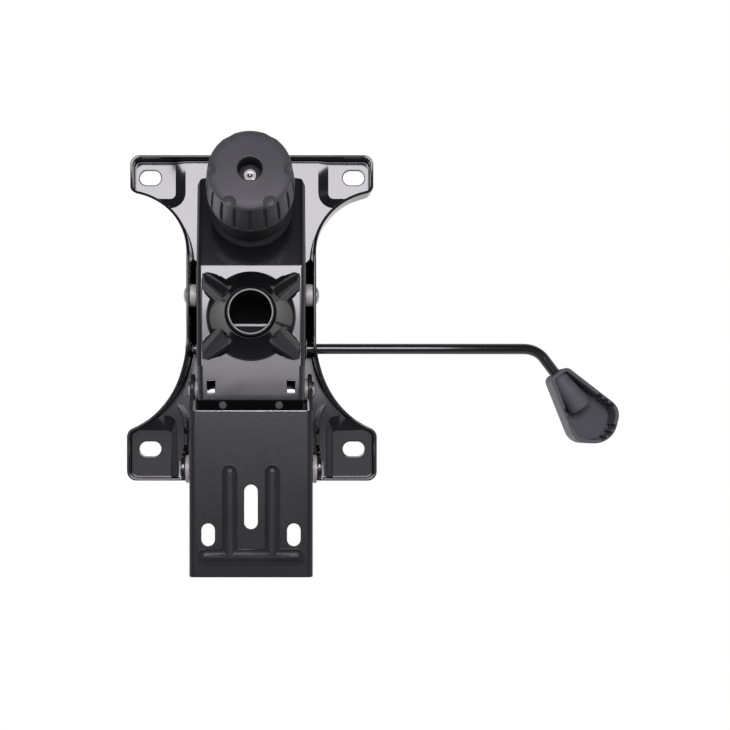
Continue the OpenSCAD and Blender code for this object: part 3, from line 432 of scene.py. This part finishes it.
knobGrooves = {"axis": tensionFoot, "tilt": 180 - 10.75, "count": 18, "lean": 3.6,
               "foot": 31.6 * mm, "head": 56.3 * mm, "near": 0.05 * mm, "inner": 23.68 * mm,
               "centre": 29.6 * mm, "radius": 1.33 * mm, "deeper": 1.1 * mm}


def deepenGrooves(piece, s):
    # the skirt's grooves read as dark slots
    bpy.ops.object.mode_set(mode="EDIT")
    bpy.ops.mesh.select_all(action="SELECT")
    bpy.ops.mesh.quads_convert_to_tris()
    bpy.ops.object.mode_set(mode="OBJECT")
    stand = Matrix.Rotation(math.radians(s["tilt"]), 3, "X")
    axis = Vector(s["axis"])
    step = 2 * math.pi / s["count"]
    for corner in piece.data.vertices:
        place = stand.inverted() @ (corner.co - axis)
        reach = math.hypot(place.x, place.y)
        if reach < s["inner"] or not s["foot"] - s["near"] < place.z < s["head"]:
            continue
        turn = math.atan2(place.y, place.x)
        middle = (math.floor(turn / step) + 0.5) * step
        aside = reach * math.sin(turn - middle)
        leaned = math.tan(math.radians(s["lean"])) * (place.z - s["foot"])
        out = reach * math.cos(turn - middle) - s["centre"] + leaned
        if math.hypot(aside, out) > s["radius"]:
            continue
        shift = s["deeper"] * (1 - (aside / s["radius"]) ** 2)
        inward = Vector((-math.cos(middle), -math.sin(middle), 0)) * shift
        corner.co = axis + stand @ (place + inward)


seatPress = {"padTop": 78.5 * mm, "wide": 100 * mm * mm, "level": 0.999, "slope": (0.5, 0.985),
             "under": 75 * mm, "wall": 43.1 * mm, "front": -44.6 * mm, "rear": 12.8 * mm, "near": 0.2 * mm,
             "bend": 3.8 * mm, "bendSteps": 5}


def pressSeat(piece, s):
    # crisp lines where the pads rise, and a full bend where the rim leaves the sheet at the waist
    mesh = piece.data
    sides = [[] for edge in mesh.edges]
    for face in mesh.polygons:
        for corner in face.loop_indices:
            sides[mesh.loops[corner].edge_index].append(face)
    steep, gentle = s["slope"]
    for edge in mesh.edges:
        flat = [abs(face.normal.z) > s["level"] and face.area > s["wide"] for face in sides[edge.index]]
        rising = [steep < abs(face.normal.z) < gentle for face in sides[edge.index]]
        edge.use_edge_sharp = any(flat) and any(rising)
    makeActive(piece)
    clearPicks(mesh)
    for edge in mesh.edges:
        ends = [mesh.vertices[end].co for end in edge.vertices]
        edge.select = all(abs(end.z - s["under"]) < s["near"] and abs(abs(end.x) - s["wall"]) < s["near"]
                          and s["front"] - s["near"] < end.y < s["rear"] + s["near"] for end in ends)
    bpy.ops.object.mode_set(mode="EDIT")
    bpy.ops.mesh.select_mode(type="EDGE")
    bpy.ops.mesh.bevel(offset=s["bend"], segments=s["bendSteps"], affect="EDGES")
    bpy.ops.object.mode_set(mode="OBJECT")


def keepsPad(place):
    # the pads' top edges stay as they are
    return place.z > seatPress["padTop"]


def shapeHousing(piece):
    turnGussets(piece, gussetTurn)
    softenFold(piece, slopeFold)
    turnLip(piece, bossLip)


def shapeSeat(piece):
    pressSeat(piece, seatPress)


def shapeKnob(piece):
    deepenGrooves(piece, knobGrooves)


handWork = {"housing": shapeHousing, "seat_plate": shapeSeat, "tension_knob": shapeKnob}
keptEdges = {"housing": keepsEdge, "seat_plate": keepsPad}
flatWeights = {"housing": 50}       # how far large faces rule the shading, 100 for the others
cleanUp = {"merge": 0.004 * mm, "flat": 0.4}


def dressSolid(node, name, finish, edge):
    clearSelection()
    body = frame["nodes"][node]["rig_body"]
    piece = bpy.data.objects.new(name, frame["nodes"][node].data.copy())
    bpy.context.scene.collection.objects.link(piece)
    makeActive(piece)
    bpy.ops.mesh.customdata_custom_splitnormals_clear()
    bpy.ops.object.mode_set(mode="EDIT")
    bpy.ops.mesh.select_all(action="SELECT")
    bpy.ops.mesh.remove_doubles(threshold=cleanUp["merge"])
    bpy.ops.mesh.dissolve_limited(angle_limit=math.radians(cleanUp["flat"]))
    bpy.ops.object.mode_set(mode="OBJECT")
    if node in handWork:
        handWork[node](piece)
    addBevel(piece, edge, keptEdges.get(node), brokenEdge)
    applyModifiers(piece)
    low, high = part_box(node)
    for corner in piece.data.vertices:      # a broken edge never stands proud of its solid
        corner.co = [min(max(corner.co[i], low[i]), high[i]) for i in range(3)]
    smoothByAngle(piece, brokenEdge["smooth"])
    flatten = piece.modifiers.new("flatFaces", "WEIGHTED_NORMAL")
    flatten.keep_sharp = True
    flatten.weight = flatWeights.get(node, 100)
    applyModifiers(piece)
    setFinish(piece, finishes[finish])
    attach(piece, body)
    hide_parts(node)
    return piece


solidSettings = {
    # node: name, finish, broken edge in mm
    "housing": ("housingShell", "powderCoat", 0.6),
    "taper_bush": ("taperSocket", "socketSteel", 0.2),
    "bush_bridge": ("socketBridge", "darkSteel", 0.4),
    "lever_bushes": ("leverBushes", "whiteNylon", 0.3),
    "back_pivot_rivets": ("backPivotRivets", "zincSteel", 0.3),
    "back_pivot_washers": ("backPivotWashers", "whiteNylon", 0.25),
    "upright_buffer": ("uprightBuffer", "blackRubber", 0.8),
    "buffer_rivets": ("bufferRivets", "bracketCoat", 0.2),
    "spring_sleeve": ("springSleeve", "sleevePlastic", 0.25),
    "spring_seat": ("springSeat", "zincSteel", 0.3),
    "tension_spring": ("tensionSpring", "springSteel", 0.05),
    "seat_plate": ("seatPlate", "seatCoat", 0.95),
    "left_ear": ("leftEar", "powderCoat", 0.6),
    "right_ear": ("rightEar", "powderCoat", 0.6),
    "seat_pivot_rivets": ("seatPivotRivets", "zincSteel", 0.3),
    "seat_pivot_washers": ("seatPivotWashers", "whiteNylon", 0.25),
    "bolt_anchor": ("boltAnchor", "powderCoat", 0.4),
    "back_bracket": ("backBracket", "bracketCoat", 0.45),
    "link_pins": ("linkPins", "zincSteel", 0.3),
    "link_washers": ("linkWashers", "whiteNylon", 0.25),
    "tension_bolt": ("tensionBolt", "zincSteel", 0.3),
    "thrust_washer": ("thrustWasher", "zincSteel", 0.25),
    "tension_knob": ("tensionKnob", "knobPlastic", 0.4),
    "knob_nut": ("knobNut", "bracketCoat", 0.25),
    "detent_sleeve": ("detentSleeve", "whiteNylon", 0.25),
    "lever_rod": ("leverRod", "powderCoat", 0.1),
    "actuator_tab": ("actuatorTab", "tabSteel", 0.6),
    "lever_paddle": ("leverPaddle", "paddlePlastic", 0.5),
    "lever_clips": ("leverClips", "zincSteel", 0.15),
}

frontEdge = {"half": 34 * mm, "under": 29 * mm, "deep": 0.6 * mm, "facing": -0.25}


def paintFrontEdgeHighlight(piece, s, finish):
    # painted highlight: the faces along the bracket's front cut edge get a pale finish standing in for the
    # light that edge catches
    mesh = piece.data
    front = min(corner.co.y for corner in mesh.vertices if corner.co.z < s["under"])
    mesh.materials.append(finish)
    painted = 0
    for face in mesh.polygons:
        place = face.center
        atFront = abs(place.x) < s["half"] and place.z < s["under"] and place.y < front + s["deep"]
        if atFront and face.normal.y < s["facing"] and face.normal.z < 0:
            face.material_index = 1
            painted += 1
    print("bare edge faces:", painted, "at", round(front / mm, 2))


knobHole = {"radius": 8.05 * mm, "floor": 40 * mm}


def darkenHole(piece, s, stand, finish):
    # hardly any light reaches the hole in the knob's face
    mesh = piece.data
    turn = Matrix.Rotation(math.radians(stand["tilt"]), 3, "X").inverted()
    mesh.materials.append(finish)
    dark = 0
    for face in mesh.polygons:
        place = turn @ (face.center - Vector(stand["axis"]))
        if math.hypot(place.x, place.y) < s["radius"] and place.z > s["floor"]:
            face.material_index = 1
            dark += 1
    print("dark hole faces:", dark)


def squashSpring(piece):
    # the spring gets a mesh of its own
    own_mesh(piece)


pieces = {}
for node, (name, finish, edge) in solidSettings.items():
    pieces[node] = dressSolid(node, name, finish, edge * mm)
paintFrontEdgeHighlight(pieces["back_bracket"], frontEdge, finishes["paintedEdgeHighlight"])
darkenHole(pieces["tension_knob"], knobHole, knobGrooves, finishes["sleevePlastic"])
squashSpring(pieces["tension_spring"])
print("solids dressed:", len(pieces))


# floor, lights, white surround and camera

stageSettings = {
    "floorDrop": 1.4, "floorSize": 60.0, "floorColour": (0.82, 0.82, 0.82),
    "floorCloud": 0.01, "floorCloudScale": 1.5, "floorRoughness": 0.8,
    "surround": 0.08, "lampTint": (1.0, 0.97, 1.03),
    "lamps": [
        # name, place, aim, width, length, power
        ("frontStrip", (0.0, -0.295, -0.9), (0.0, -0.295, 0.0), 0.66, 0.35, 11.3),
        ("middleStrip", (0.0, -0.054, -0.9), (0.0, -0.054, 0.0), 0.66, 0.132, 1.6),
        ("rearStrip", (0.0, 0.191, -0.9), (0.0, 0.191, 0.0), 0.66, 0.218, 0.45),
        ("sideSoftbox", (1.1, 0.15, -0.45), (0.0, 0.05, 0.05), 1.6, 1.2, 4.0),
        ("farSoftbox", (-1.1, 0.25, -0.35), (0.0, 0.05, 0.05), 1.6, 1.2, 3.0),
        ("rearSoftbox", (0.0, 1.1, -0.25), (0.0, 0.05, 0.05), 2.0, 1.0, 4.0),
        ("topSoftbox", (-0.3, 0.4, 1.3), (0.0, 0.0, 0.05), 1.2, 1.2, 9.0),
    ],
}


def makeFloor(s):
    clearSelection()
    bpy.ops.mesh.primitive_plane_add(size=s["floorSize"], location=(0, 0, -s["floorDrop"]))
    floor = bpy.context.object
    floor.name = "paleFloor"
    finish, tree, shader, place = newFinish("paleFloorPaint")
    cloud = addNoise(tree, place, s["floorCloudScale"])
    tone = addRamp(tree, cloud.outputs["Fac"], mottle["cloudSpan"],
                   shade(s["floorColour"], 1 - s["floorCloud"]), shade(s["floorColour"], 1 + s["floorCloud"]))
    tree.links.new(tone.outputs["Color"], shader.inputs["Base Color"])
    shader.inputs["Roughness"].default_value = s["floorRoughness"]
    glow = tree.nodes.new("ShaderNodeEmission")
    glow.inputs["Color"].default_value = shade(s["floorColour"], 1.0)
    path = tree.nodes.new("ShaderNodeLightPath")
    mix = tree.nodes.new("ShaderNodeMixShader")
    tree.links.new(path.outputs["Is Camera Ray"], mix.inputs["Fac"])
    tree.links.new(shader.outputs["BSDF"], mix.inputs[1])
    tree.links.new(glow.outputs["Emission"], mix.inputs[2])
    tree.links.new(mix.outputs["Shader"], tree.nodes["Material Output"].inputs["Surface"])
    setFinish(floor, finish)


def makeLamp(name, place, aim, width, length, power):
    lamp = bpy.data.lights.new(name, "AREA")
    lamp.shape = "RECTANGLE"
    lamp.size = width
    lamp.size_y = length
    lamp.energy = power
    lamp.color = stageSettings["lampTint"]
    holder = bpy.data.objects.new(name, lamp)
    bpy.context.scene.collection.objects.link(holder)
    holder.location = place
    holder.rotation_euler = (Vector(aim) - Vector(place)).to_track_quat("-Z", "Y").to_euler()
    holder.visible_camera = False


def makeSurround(strength):
    world = bpy.data.worlds.new("whiteSurround")
    bpy.context.scene.world = world
    world.use_nodes = True
    tree = world.node_tree
    light = tree.nodes["Background"]
    light.inputs["Color"].default_value = (1, 1, 1, 1)
    light.inputs["Strength"].default_value = strength
    seen = tree.nodes.new("ShaderNodeBackground")
    seen.inputs["Color"].default_value = (1, 1, 1, 1)
    seen.inputs["Strength"].default_value = 1.0
    path = tree.nodes.new("ShaderNodeLightPath")
    either = addMath(tree, "MAXIMUM", path.outputs["Is Camera Ray"], path.outputs["Is Transmission Ray"])
    either = addMath(tree, "MAXIMUM", either, path.outputs["Is Glossy Ray"])
    mix = tree.nodes.new("ShaderNodeMixShader")
    tree.links.new(either, mix.inputs["Fac"])
    tree.links.new(light.outputs["Background"], mix.inputs[1])
    tree.links.new(seen.outputs["Background"], mix.inputs[2])
    tree.links.new(mix.outputs["Shader"], tree.nodes["World Output"].inputs["Surface"])


makeFloor(stageSettings)
for lampRow in stageSettings["lamps"]:
    makeLamp(*lampRow)
makeSurround(stageSettings["surround"])
print("stage lit")

cameraSettings = {
    "imageSize": 730, "sensorWidth": 36.0,
    "focalPixels": 966, "centrePixel": (265, 430),   # where the lens axis meets the picture
    "place": (9.6 * mm, 78 * mm, -635 * mm), "clipStart": 10 * mm,
}


def makeCamera(s):
    data = bpy.data.cameras.new("photoCamera")
    data.sensor_width = s["sensorWidth"]
    data.lens = s["focalPixels"] / s["imageSize"] * s["sensorWidth"]
    data.shift_x = 0.5 - s["centrePixel"][0] / s["imageSize"]
    data.shift_y = s["centrePixel"][1] / s["imageSize"] - 0.5
    data.clip_start = s["clipStart"]
    camera = bpy.data.objects.new("photoCamera", data)
    bpy.context.scene.collection.objects.link(camera)
    camera.location = s["place"]
    camera.rotation_euler = (math.pi, 0, 0)    # straight up from below, front of the chair at the top
    bpy.context.scene.camera = camera


makeCamera(cameraSettings)
bpy.context.scene.view_settings.view_transform = "Standard"
